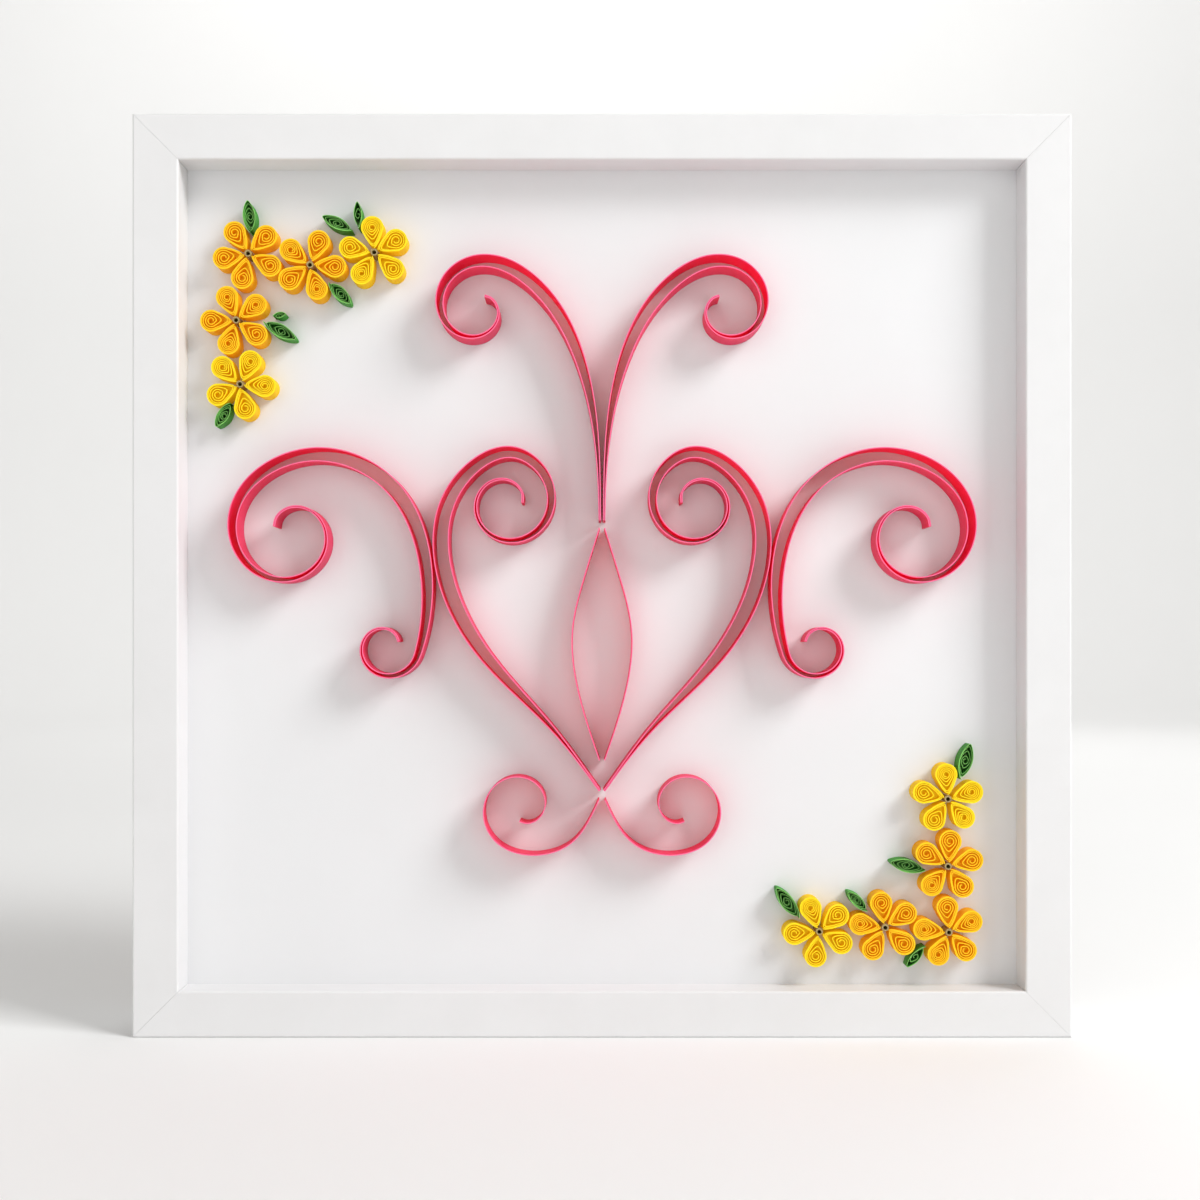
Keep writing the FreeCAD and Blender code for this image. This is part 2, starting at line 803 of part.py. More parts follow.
def middle_line(stroke, unit):
    """Evenly spaced points along a stroke's middle line, two for each arc."""
    points = [(x * unit, z * unit) for x, z in stroke["points"]]
    if stroke["start_curl"]:
        points = curl_points(points[0], stroke["start_curl"], unit)[::-1] + points
    if stroke["end_curl"]:
        points = points + curl_points(points[-1], stroke["end_curl"], unit)
    curve = Part.BSplineCurve()
    curve.interpolate([FreeCAD.Vector(x, 0, z) for x, z in points])
    return curve.toShape().discretize(Number=2 * STROKE_ARCS + 1)


def swelling(share, peak):
    """0 at both ends of a stroke and 1 at its peak, with a smooth rise and fall."""
    part = share / peak if share < peak else (1 - share) / (1 - peak)
    return math.sin(part * math.pi / 2) ** 2


def strip(middle, widths, side):
    """One card strip beside the middle line: side is 1 to the left and -1 to the right of it."""
    near = beside(middle, [side * width for width in widths])
    far = beside(middle, [side * (width + value("strip_thickness")) for width in widths])
    return wall(near, far, range(1, len(middle), 2), value("strip_height"))


def both_halves(label, shape):
    """The strip on the right of the ornament, and its mirror image on the left."""
    mirrored = shape.mirror(FreeCAD.Vector(0, 0, 0), FreeCAD.Vector(1, 0, 0))
    centre = number(CENTRE_HEIGHT)
    for hand, half in (("right", shape), ("left", mirrored)):
        shape_node(label % hand, placed(half, 0, centre, 0))


def build_ornament():
    unit = min(
        (value("opening_width") - 2 * value("side_margin")) / DRAWN_WIDTH,
        (value("opening_height") - 2 * value("top_margin")) / DRAWN_HEIGHT,
    )
    half_glue = value("glue_gap") / 2
    for name, stroke in (("heart", HEART), ("side_scroll", SIDE), ("plume", PLUME)):
        middle = middle_line(stroke, unit)
        last = len(middle) - 1
        widest = value("swell") * stroke["swell_share"]
        widths = [
            half_glue + widest * swelling(index / last, stroke["peak"])
            for index in range(len(middle))
        ]
        for edge, side in (("outer", -1), ("inner", 1)):
            both_halves(name + "_%s_" + edge, strip(middle, widths, side))
    for name, stroke in (("tail", TAIL), ("almond", ALMOND)):
        middle = middle_line(stroke, unit)
        both_halves(name + "_%s", strip(middle, [0.0] * len(middle), -1))


def check_and_write():
    doc.recompute()
    for obj in doc.Objects:
        if {"Invalid", "Error"} & set(obj.State):
            raise RuntimeError("%s failed: %s" % (obj.Label, obj.State))
    for obj in NODES:
        if obj.Shape.isNull() or not obj.Shape.isValid() or not obj.Shape.Solids:
            raise RuntimeError("%s has no valid solid" % obj.Label)
    os.makedirs("parts", exist_ok=True)
    for obj in NODES:
        obj.Shape.exportStep("parts/%s.step" % obj.Label)


build_frame()
build_flowers()
build_leaves()
build_ornament()
check_and_write()
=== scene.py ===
"""Looks of a framed quilled picture: white box frame, rolled paper flowers and card scrolls.

Everything is in metres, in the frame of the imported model: X to the right, Z up, front towards
-Y. Art is drawn in the plane of the mount board as (across, up) points and raised towards -Y.
"""

import logging
import math
import random
from dataclasses import dataclass, field
from enum import Enum
from typing import Callable, Mapping, Sequence

import bpy
import numpy as np
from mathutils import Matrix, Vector


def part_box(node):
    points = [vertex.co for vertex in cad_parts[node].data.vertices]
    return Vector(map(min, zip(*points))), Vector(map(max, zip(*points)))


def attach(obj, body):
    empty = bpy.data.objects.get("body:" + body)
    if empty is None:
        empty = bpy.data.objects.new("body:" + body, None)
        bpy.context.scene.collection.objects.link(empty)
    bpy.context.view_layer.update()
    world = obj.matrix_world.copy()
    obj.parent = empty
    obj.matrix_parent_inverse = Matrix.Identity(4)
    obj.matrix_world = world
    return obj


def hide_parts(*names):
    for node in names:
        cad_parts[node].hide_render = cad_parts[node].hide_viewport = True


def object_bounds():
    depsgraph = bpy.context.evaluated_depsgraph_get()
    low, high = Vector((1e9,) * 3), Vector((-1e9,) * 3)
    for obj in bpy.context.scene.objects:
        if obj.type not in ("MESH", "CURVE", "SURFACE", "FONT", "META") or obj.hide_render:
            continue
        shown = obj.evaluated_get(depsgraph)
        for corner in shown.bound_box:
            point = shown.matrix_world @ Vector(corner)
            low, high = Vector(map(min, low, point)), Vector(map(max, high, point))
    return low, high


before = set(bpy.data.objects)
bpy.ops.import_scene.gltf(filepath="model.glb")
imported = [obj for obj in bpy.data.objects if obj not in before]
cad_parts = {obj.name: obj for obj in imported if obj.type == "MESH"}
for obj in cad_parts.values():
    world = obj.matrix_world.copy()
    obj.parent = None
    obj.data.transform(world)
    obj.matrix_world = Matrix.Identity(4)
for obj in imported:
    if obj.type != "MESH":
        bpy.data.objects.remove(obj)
CAD_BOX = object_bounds()
LOG = logging.getLogger("quilled_picture")
MM = 0.001
BODY = "root"

# Numbers of the sockets of a Mix node for colours
MIX_SHARE, MIX_FIRST, MIX_SECOND, MIX_RESULT = 0, 6, 7, 2

# Share of a normal that points to the front, on a face of the paper and on its front edge,
# where the highlight is painted
FACE_LEAN, EDGE_LEAN = 0.55, 0.9

# Steps along a spline for each point that is kept of it, and an angle that is as good as none
FOLLOWED = 12
NEAR_ZERO = 1e-6

Reach = Callable[[np.ndarray, np.ndarray], np.ndarray]
Colour = tuple[float, float, float]
Range = tuple[float, float]


class Side(Enum):
    """The four rails of the frame."""

    TOP = "top"
    BOTTOM = "bottom"
    LEFT = "left"
    RIGHT = "right"


class Hand(Enum):
    """Which half of the mirror-symmetric ornament a strip belongs to."""

    RIGHT = 1
    LEFT = -1


# Shader maths


class Signal:
    """One value in a material, with Python's arithmetic."""

    def __init__(self, sheet: "NodeSheet", socket: bpy.types.NodeSocket) -> None:
        """Wraps an output socket of a node on the sheet."""
        self.sheet = sheet
        self.socket = socket

    def __add__(self, other: "Signal | float") -> "Signal":
        """The sum."""
        return self.sheet.maths("ADD", self, other)

    def __sub__(self, other: "Signal | float") -> "Signal":
        """The difference."""
        return self.sheet.maths("SUBTRACT", self, other)

    def __rsub__(self, other: float) -> "Signal":
        """A number less this value."""
        return self.sheet.maths("SUBTRACT", other, self)

    def __mul__(self, other: "Signal | float") -> "Signal":
        """The product."""
        return self.sheet.maths("MULTIPLY", self, other)

    __radd__ = __add__

    def swing(self, width: float) -> "Signal":
        """A value from 0 to 1 as a swing of this width about 0."""
        return (self - 0.5) * width


def opaque(colour: "Signal | Colour") -> "Signal | tuple":
    """A colour with full alpha, or a Signal as it is."""
    return colour if isinstance(colour, Signal) else (*colour, 1.0)


class NodeSheet:
    """A material's node tree, filled one node at a time."""

    def __init__(self, name: str) -> None:
        """Makes an empty material.

        Args:
            name: the material's name.
        """
        self.material = bpy.data.materials.new(name)
        self.material.use_nodes = True
        self.tree = self.material.node_tree
        self.tree.nodes.clear()

    def add(
        self, kind: str, settings: Mapping | None = None, inputs: Mapping | None = None
    ) -> bpy.types.Node:
        """Adds a node, sets it up and connects it.

        Args:
            kind: the node's type name.
            settings: properties of the node, set before its sockets.
            inputs: socket names or numbers with a value or a Signal each.

        Returns:
            The new node.
        """
        node = self.tree.nodes.new(kind)
        for key, value in (settings or {}).items():
            setattr(node, key, value)
        for key, value in (inputs or {}).items():
            if isinstance(value, Signal):
                self.tree.links.new(value.socket, node.inputs[key])
            else:
                node.inputs[key].default_value = value
        return node

    def out(self, node: bpy.types.Node, name: str | int) -> Signal:
        """An output of a node as a Signal."""
        return Signal(self, node.outputs[name])

    def maths(
        self, operation: str, first: "Signal | float", second: "Signal | float"
    ) -> Signal:
        """A Math node's result."""
        node = self.add("ShaderNodeMath", {"operation": operation}, {0: first, 1: second})
        return self.out(node, 0)

    def limited(self, value: Signal, low: float, high: float) -> Signal:
        """The value mapped so that low is 0 and high is 1, held inside that range."""
        node = self.add(
            "ShaderNodeMapRange", {"clamp": True},
            {"Value": value, "From Min": low, "From Max": high},
        )
        return self.out(node, "Result")

    def place(self) -> Signal:
        """Where a point lies on the object, in metres."""
        return self.out(self.add("ShaderNodeTexCoord"), "Object")

    def facing_front(self) -> Signal:
        """1 where the surface faces the front of the picture, 0 where it is side on or behind."""
        normal = self.out(self.add("ShaderNodeTexCoord"), "Normal")
        split = self.add("ShaderNodeSeparateXYZ", None, {0: normal})
        return self.limited(self.out(split, "Y") * -1.0, FACE_LEAN, EDGE_LEAN)

    def noise(
        self, scale: float, detail: float, stretch: Sequence[float] = (1.0, 1.0, 1.0)
    ) -> Signal:
        """Soft noise.

        Args:
            scale: spots for each metre.
            detail: how many finer layers it has.
            stretch: how much tighter it is along each axis.

        Returns:
            A Signal from 0 to 1.
        """
        spread = self.add(
            "ShaderNodeVectorMath", {"operation": "MULTIPLY"}, {0: self.place(), 1: tuple(stretch)}
        )
        node = self.add(
            "ShaderNodeTexNoise", None,
            {"Vector": self.out(spread, 0), "Scale": scale, "Detail": detail, "Roughness": 0.6},
        )
        return self.out(node, "Fac")

    def blend(
        self, share: Signal, first: "Signal | Colour", second: "Signal | Colour"
    ) -> Signal:
        """A mix of two colours by a share from 0 to 1."""
        node = self.add(
            "ShaderNodeMix", {"data_type": "RGBA", "clamp_factor": True},
            {MIX_SHARE: share, MIX_FIRST: opaque(first), MIX_SECOND: opaque(second)},
        )
        return self.out(node, MIX_RESULT)

    def bump(self, height: Signal, distance: float, strength: float) -> Signal:
        """A normal bent by a height.

        Args:
            height: the height, from 0 to 1.
            distance: the height of 1 in metres.
            strength: the share of the effect.

        Returns:
            The bent normal.
        """
        node = self.add(
            "ShaderNodeBump", None, {"Height": height, "Distance": distance, "Strength": strength}
        )
        return self.out(node, "Normal")

    def surface(self, inputs: Mapping) -> bpy.types.Material:
        """Ends the sheet with one Principled shader and returns its material."""
        shader = self.add("ShaderNodeBsdfPrincipled", None, inputs)
        self.add("ShaderNodeOutputMaterial", None, {"Surface": self.out(shader, "BSDF")})
        return self.material

    def thin_paper(self, inputs: Mapping, glow: Colour, share: Signal) -> bpy.types.Material:
        """Ends the sheet with paper that lets some light through.

        Args:
            inputs: sockets of the Principled shader that shows the paper's surface.
            glow: colour of the light that comes through.
            share: how much of the look is light from behind.

        Returns:
            The material.
        """
        front = self.out(self.add("ShaderNodeBsdfPrincipled", None, inputs), "BSDF")
        through = self.out(self.add("ShaderNodeBsdfTranslucent", None, {"Color": opaque(glow)}), 0)
        mixed = self.add("ShaderNodeMixShader", None, {0: share, 1: front, 2: through})
        self.add("ShaderNodeOutputMaterial", None, {"Surface": self.out(mixed, 0)})
        return self.material


# Finishes


@dataclass(frozen=True)
class SatinPaint:
    """Smooth satin paint, rolled on, a little thinner in places."""

    name: str
    colour: Colour = (0.785, 0.785, 0.79)
    thin: Colour = (0.755, 0.755, 0.758)
    roughness: float = 0.34

    def build(self) -> bpy.types.Material:
        """Makes the material."""
        sheet = NodeSheet(self.name)
        cloud = sheet.noise(scale=22.0, detail=2.0)
        peel = sheet.noise(scale=1400.0, detail=2.0)
        grain = sheet.noise(scale=90.0, detail=4.0, stretch=(1.0, 6.0, 1.0))
        thinned = sheet.limited(cloud * 0.6 + grain * 0.4, low=0.35, high=0.7)
        return sheet.surface({
            "Base Color": sheet.blend(thinned, self.colour, self.thin),
            "Roughness": self.roughness + cloud.swing(0.14),
            "Specular IOR Level": 0.42,
            "Normal": sheet.bump(peel * 0.7 + grain * 0.3, distance=0.00002, strength=0.35),
        })


@dataclass(frozen=True)
class MountBoard:
    """Matt mount board with a fine felt-like tooth."""

    name: str
    colour: Colour = (0.805, 0.81, 0.822)
    shade: Colour = (0.785, 0.79, 0.80)

    def build(self) -> bpy.types.Material:
        """Makes the material."""
        sheet = NodeSheet(self.name)
        tooth = sheet.noise(scale=2600.0, detail=3.0)
        cloud = sheet.noise(scale=14.0, detail=2.0)
        shaded = sheet.limited(cloud, low=0.3, high=0.7)
        return sheet.surface({
            "Base Color": sheet.blend(shaded, self.colour, self.shade),
            "Roughness": 0.82 + tooth.swing(0.1),
            "Specular IOR Level": 0.25,
            "Normal": sheet.bump(tooth, distance=0.00003, strength=0.4),
        })


@dataclass(frozen=True)
class RolledPaper:
    """Coloured quilling paper: matt, with short fibres and a painted highlight on its front edges.

    The edge colour is a painted highlight on the front edges, and its share says how much shows;
    glow_share is how much of the look of a face is light from behind, and the emission strength
    adds a painted glow that brightens the paper, though it is no lamp.
    """

    name: str
    face: Colour
    deep: Colour
    edge: Colour
    glow: Colour
    edge_highlight_share: float
    glow_share: float
    painted_glow: float = 0.0

    def build(self) -> bpy.types.Material:
        """Makes the material."""
        sheet = NodeSheet(self.name)
        fibres = sheet.noise(scale=3200.0, detail=3.0, stretch=(1.0, 0.25, 1.0))
        cloud = sheet.noise(scale=160.0, detail=2.0)
        deepened = sheet.limited(cloud * 0.7 + fibres * 0.3, low=0.36, high=0.66)
        tone = sheet.blend(deepened, self.face, self.deep)
        # Faces towards the front get the edge colour, a painted highlight, and let no light
        # through.
        highlit_front = sheet.facing_front()
        return sheet.thin_paper({
            "Base Color": sheet.blend(highlit_front * self.edge_highlight_share, tone, self.edge),
            "Roughness": 0.6 + fibres.swing(0.2),
            "Specular IOR Level": 0.3,
            # Painted light: the paper glows a little in the glow colour, though it is no lamp.
            "Emission Color": opaque(self.glow),
            "Emission Strength": self.painted_glow,
            "Normal": sheet.bump(fibres, distance=0.00002, strength=0.4),
        }, self.glow, (1.0 - highlit_front) * self.glow_share)


@dataclass(frozen=True)
class DyedCard:
    """Smooth dyed card with a soft sheen and a fine calendered grain."""

    name: str
    face: Colour = (0.97, 0.09, 0.27)
    deep: Colour = (0.95, 0.07, 0.23)
    # The edge colour is a painted highlight for the front edges.
    edge: Colour = (0.99, 0.21, 0.42)
    glow: Colour = (1.0, 0.045, 0.17)
    edge_highlight_share: float = 0.8
    glow_share: float = 0.5

    def build(self) -> bpy.types.Material:
        """Makes the material."""
        sheet = NodeSheet(self.name)
        grain = sheet.noise(scale=1800.0, detail=3.0, stretch=(1.0, 0.3, 1.0))
        cloud = sheet.noise(scale=45.0, detail=2.0)
        deepened = sheet.limited(cloud * 0.75 + grain * 0.25, low=0.36, high=0.66)
        tone = sheet.blend(deepened, self.face, self.deep)
        # Faces towards the front get the edge colour, a painted highlight, and let no light
        # through.
        highlit_front = sheet.facing_front()
        return sheet.thin_paper({
            "Base Color": sheet.blend(highlit_front * self.edge_highlight_share, tone, self.edge),
            "Roughness": 0.4 + grain.swing(0.16),
            "Specular IOR Level": 0.5,
            "Normal": sheet.bump(grain, distance=0.000012, strength=0.4),
        }, self.glow, (1.0 - highlit_front) * self.glow_share)


@dataclass(frozen=True)
class Hardboard:
    """Pressed brown fibreboard, flecked with paler and darker fibres."""

    name: str
    colour: Colour = (0.19, 0.095, 0.045)
    fleck: Colour = (0.32, 0.185, 0.095)

    def build(self) -> bpy.types.Material:
        """Makes the material."""
        sheet = NodeSheet(self.name)
        fibres = sheet.noise(scale=700.0, detail=6.0, stretch=(1.0, 1.0, 1.7))
        cloud = sheet.noise(scale=18.0, detail=3.0)
        flecked = sheet.limited(fibres * 0.75 + cloud * 0.25, low=0.4, high=0.66)
        return sheet.surface({
            "Base Color": sheet.blend(flecked, self.colour, self.fleck),
            "Roughness": 0.62 + fibres.swing(0.3),
            "Specular IOR Level": 0.3,
            "Normal": sheet.bump(fibres, distance=0.00012, strength=0.5),
        })


@dataclass(frozen=True)
class PlatedSteel:
    """Stamped and plated steel with rolling marks and dull patches."""

    name: str
    colour: Colour
    dull: Colour
    roughness: float = 0.34

    def build(self) -> bpy.types.Material:
        """Makes the material."""
        sheet = NodeSheet(self.name)
        marks = sheet.noise(scale=900.0, detail=2.0, stretch=(0.12, 1.0, 1.0))
        patches = sheet.noise(scale=260.0, detail=3.0)
        dulled = sheet.limited(patches, low=0.4, high=0.7)
        return sheet.surface({
            "Base Color": sheet.blend(dulled, self.colour, self.dull),
            "Metallic": 1.0,
            "Roughness": self.roughness + patches.swing(0.25),
            "Normal": sheet.bump(marks, distance=0.00002, strength=0.4),
        })


@dataclass(frozen=True)
class SoftBumper:
    """Slightly cloudy soft plastic."""

    name: str
    colour: Colour = (0.62, 0.63, 0.62)
    cloudy: Colour = (0.5, 0.51, 0.5)

    def build(self) -> bpy.types.Material:
        """Makes the material."""
        sheet = NodeSheet(self.name)
        cloud = sheet.noise(scale=320.0, detail=3.0)
        return sheet.surface({
            "Base Color": sheet.blend(cloud, self.colour, self.cloudy),
            "Roughness": 0.42 + cloud.swing(0.2),
            "Normal": sheet.bump(cloud, distance=0.00003, strength=0.3),
        })


@dataclass(frozen=True)
class StudioPaper:
    """Plain pale paper of the studio's floor and backdrop."""

    name: str
    colour: Colour = (0.86, 0.86, 0.855)
    dimming: float = 0.985

    def build(self) -> bpy.types.Material:
        """Makes the material."""
        sheet = NodeSheet(self.name)
        cloud = sheet.noise(scale=3.0, detail=2.0)
        dimmer = tuple(part * self.dimming for part in self.colour)
        tone = sheet.blend(cloud, self.colour, dimmer)
        return sheet.surface({"Base Color": tone, "Roughness": 0.9})


# Meshes


def keep(name: str, mesh: bpy.types.Mesh, material: bpy.types.Material) -> bpy.types.Object:
    """Puts a mesh in the scene as a piece with one material and reports it."""
    mesh.materials.append(material)
    piece = bpy.data.objects.new(name, mesh)
    bpy.context.scene.collection.objects.link(piece)
    LOG.info("%s: %d faces", name, len(mesh.polygons))
    return piece


def stand_for(piece: bpy.types.Object, slot: str, *nodes: str) -> None:
    """Lets a piece ride on the body and stand for its nodes."""
    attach(piece, BODY)
    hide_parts(*nodes)


@dataclass
class WallMesh:
    """Collects walls of paper, each between two lines of points and raised from the board.

    board is the depth of the board's face, and chamfer takes the corners off the front edges.
    """

    board: float
    chamfer: float = 0.0
    points: list = field(default_factory=list)
    faces: list = field(default_factory=list)
    sharp: list = field(default_factory=list)
    count: int = 0

    def section(self, near: np.ndarray, far: np.ndarray, height: np.ndarray) -> np.ndarray:
        """Corners of the wall's section at each point of its lines.

        Args:
            near: (n, 2) points of one face.
            far: (n, 2) points of the other face.
            height: (n,) heights of the front edge above the board.

        Returns:
            (n, corners, 3) positions.
        """
        front = self.board - height
        back = np.full(len(near), self.board)
        if not self.chamfer:
            rows = ((near, back), (near, front), (far, front), (far, back))
        else:
            across = far - near
            across = across / np.linalg.norm(across, axis=1)[:, None] * self.chamfer
            rows = (
                (near, back), (near, front + self.chamfer), (near + across, front),
                (far - across, front), (far, front + self.chamfer), (far, back),
            )
        corners = [np.stack([line[:, 0], depth, line[:, 1]], 1) for line, depth in rows]
        return np.stack(corners, 1)

    def floor(self, line: np.ndarray, height: float) -> None:
        """Adds a flat floor inside one closed turn, run anticlockwise so that it faces forwards.

        Args:
            line: (n, 2) points of the turn.
            height: the floor's height above the board.
        """
        after = np.roll(line, -1, 0)
        if np.sum(line[:, 0] * after[:, 1] - line[:, 1] * after[:, 0]) < 0:
            line = line[::-1]
        depth = np.full(len(line), self.board - height)
        self.points.append(np.stack([line[:, 0], depth, line[:, 1]], 1))
        self.faces.append(list(range(self.count, self.count + len(line))))
        self.count += len(line)

    def add(self, near: np.ndarray, far: np.ndarray, height: "np.ndarray | float") -> None:
        """Adds one closed wall.

        The left-hand line is taken first, so that mirrored walls look outwards too.

        Args:
            near: (n, 2) points of one face.
            far: (n, 2) points of the other face.
            height: the front edge's height above the board, one or one for each point.
        """
        along, across = near[1] - near[0], far[0] - near[0]
        if along[0] * across[1] > along[1] * across[0]:
            near, far = far, near
        section = self.section(near, far, np.broadcast_to(height, (len(near),)))
        samples, corners = section.shape[:2]
        start = self.count
        self.points.append(section.reshape(-1, 3))
        grid = start + np.arange(samples * corners).reshape(samples, corners)
        here, after = grid[:-1], grid[1:]
        quads = np.stack([here, np.roll(here, -1, 1), np.roll(after, -1, 1), after], 2)
        self.faces.extend(quads.reshape(-1, 4).tolist())
        self.faces.append(grid[0][::-1].tolist())
        self.faces.append(grid[-1].tolist())
        along = np.stack([here, after], 2).reshape(-1, 2)
        ends = [np.stack([row, np.roll(row, -1)], 1) for row in (grid[0], grid[-1])]
        self.sharp.append(np.sort(np.vstack([along, *ends]), 1))
        self.count += samples * corners

    def mesh(self, name: str) -> bpy.types.Mesh:
        """The walls as one smooth-shaded mesh with sharp corners."""
        mesh = bpy.data.meshes.new(name)
        mesh.from_pydata(np.vstack(self.points).tolist(), [], self.faces)
        mesh.update()
        mesh.shade_smooth()
        pairs = np.empty(len(mesh.edges) * 2, dtype=np.int64)
        mesh.edges.foreach_get("vertices", pairs)
        pairs = np.sort(pairs.reshape(-1, 2), 1)
        keys = pairs[:, 0] * self.count + pairs[:, 1]
        wanted = np.vstack(self.sharp)
        hard = np.isin(keys, wanted[:, 0] * self.count + wanted[:, 1])
        mesh.edges.foreach_set("use_edge_sharp", hard)
        mesh.validate()
        return mesh


def beside(line: np.ndarray, distance: "np.ndarray | float") -> np.ndarray:
    """The line's points moved to the left of its direction of travel."""
    along = np.gradient(line, axis=0)
    along /= np.linalg.norm(along, axis=1)[:, None]
    sideways = np.stack([-along[:, 1], along[:, 0]], 1)
    return line + sideways * np.broadcast_to(distance, (len(line),))[:, None]


def smooth_line(points: np.ndarray, samples: int) -> np.ndarray:
    """Evenly spaced points of a natural cubic spline.

    Args:
        points: (n, 2) points that the line passes.
        samples: how many points to give.

    Returns:
        (samples, 2) points.
    """
    steps = np.linalg.norm(np.diff(points, axis=0), axis=1)
    at = np.concatenate([[0.0], np.cumsum(steps)])
    size = len(points)
    matrix = np.eye(size)
    right = np.zeros((size, 2))
    for row in range(1, size - 1):
        before, after = steps[row - 1], steps[row]
        matrix[row, row - 1:row + 2] = before, 2 * (before + after), after
        slope = (points[row + 1] - points[row]) / after - (points[row] - points[row - 1]) / before
        right[row] = 6 * slope
    bend = np.linalg.solve(matrix, right)
    fine = np.linspace(0.0, at[-1], samples * FOLLOWED)
    span = np.clip(np.searchsorted(at, fine, side="right") - 1, 0, size - 2)
    width = steps[span][:, None]
    early = ((at[span + 1] - fine)[:, None]) / width
    late = 1 - early
    line = early * points[span] + late * points[span + 1]
    bowed = (early ** 3 - early) * bend[span] + (late ** 3 - late) * bend[span + 1]
    line += bowed * width ** 2 / 6
    gone = np.concatenate([[0.0], np.cumsum(np.linalg.norm(np.diff(line, axis=0), axis=1))])
    even = np.linspace(0.0, gone[-1], samples)
    return np.stack([np.interp(even, gone, line[:, axis]) for axis in (0, 1)], 1)


def turned(line: np.ndarray, degrees: float, move: Sequence[float]) -> np.ndarray:
    """The points turned anticlockwise as seen from the front, then moved."""
    angle = math.radians(degrees)
    turn = np.array([[math.cos(angle), -math.sin(angle)], [math.sin(angle), math.cos(angle)]])
    return line @ turn.T + np.asarray(move)


def rolled_either_way(
    chance: random.Random, inner: np.ndarray, outer: np.ndarray
) -> tuple[np.ndarray, np.ndarray]:
    """Both lines, mirrored half of the time, because strips are rolled up either way."""
    side = (1, -1) if chance.random() < 0.5 else (1, 1)
    return inner * side, outer * side


# Rolled paper


@dataclass(frozen=True)
class Roll:
    """A strip of paper rolled up and pinched: a spiral from an eye to an outline.

    Its points are gathered at the lobes, where the strip bends most.
    """

    turns: float
    paper: float
    reach: Reach
    lobes: int
    gather: float = 0.78
    samples: int = 44

    def lines(self) -> tuple[np.ndarray, np.ndarray, np.ndarray]:
        """The strip's two faces, from the eye outwards.

        Returns:
            The inner face, the outer face and each point's share of the way out.
        """
        steps = int(round(self.turns * self.samples))
        share = np.linspace(0.0, 1.0, steps + 1)
        angle = share * self.turns * 2 * math.pi
        bearing = angle - self.gather * np.sin(self.lobes * angle) / self.lobes
        distance = self.reach(bearing, share)
        inner = np.stack([np.cos(bearing), np.sin(bearing)], 1) * distance[:, None]
        return inner, beside(inner, -self.paper), share


@dataclass(frozen=True)
class Teardrop:
    """The outline of a petal: a circle about the eye drawn out to a point at bearing 0.

    The outer turns lie tight on each other and form the rim. The inner ones have sprung open:
    round near the eye and more and more drawn out towards the point.
    """

    round_radius: float
    point_distance: float
    eye: float
    paper: float
    turns: float
    rim_turns: float
    rim_pitch: float
    fullness: float
    drawing_out: float = 1.15
    rim_softness: float = 0.03
    eye_softness: float = 0.2
    belly_share: float = 0.4

    def reach(self, bearing: np.ndarray, share: np.ndarray) -> np.ndarray:
        """Distance of the spiral from the eye.

        Args:
            bearing: angle from the petal's point.
            share: share of the turns from the eye to the rim.

        Returns:
            The distances.
        """
        rim = self.rim_turns * self.rim_pitch
        open_span = self.round_radius - self.paper - self.eye - rim
        open_turns = self.turns - self.rim_turns
        open_share = np.clip(share * self.turns / open_turns, 0.0, 1.0)
        rim_share = np.clip((share * self.turns - open_turns) / self.rim_turns, 0.0, 1.0)
        radius = self.eye + open_span * open_share + rim * rim_share
        stretch = 1 + (self.point_distance / self.round_radius - 1) * open_share ** self.drawing_out
        half_angle = np.arccos(1 / stretch)
        softness = self.rim_softness + self.eye_softness * (1 - open_share)
        away = np.hypot(np.remainder(bearing + math.pi, 2 * math.pi) - math.pi, softness)
        drawn = radius / np.cos(np.clip(half_angle - away, 0.0, None))
        flank = np.clip(away / np.maximum(half_angle, NEAR_ZERO), 0, 1)
        belly = np.sin(np.sqrt(flank) * math.pi)
        return drawn * (1 + self.fullness * belly * (stretch - 1) * self.belly_share)


@dataclass(frozen=True)
class Marquise:
    """The outline of a leaf: two arcs that meet in points.

    As in a petal, the outer turns form the rim, and the inner ones are round near the eye.
    """

    length: float
    width: float
    eye: float
    paper: float
    turns: float
    rim_turns: float
    rim_pitch: float
    drawing_out: float = 1.2
    point_softness: float = 0.045

    def reach(self, bearing: np.ndarray, share: np.ndarray) -> np.ndarray:
        """Distance of the spiral from the leaf's middle, by bearing and share of the turns."""
        half_length = self.length / 2 - self.paper
        half_width = self.width / 2 - self.paper
        arc = (half_length ** 2 + half_width ** 2) / (2 * half_width)
        offset = arc - half_width
        slant = np.hypot(np.sin(bearing), self.point_softness)
        rim = np.sqrt(arc ** 2 - offset ** 2 + (offset * slant) ** 2) - offset * slant
        loose = 1 - self.rim_turns * self.rim_pitch / half_width
        knee = 1 - self.rim_turns / self.turns
        opened = np.interp(share, (0.0, knee, 1.0), (0.0, loose, 1.0))
        stretch = 1 + (rim / half_width - 1) * opened ** self.drawing_out
        return (self.eye + (half_width - self.eye) * opened) * stretch


@dataclass(frozen=True)
class FlowerKind:
    """What a flower is rolled from."""

    slot: str
    finish: RolledPaper


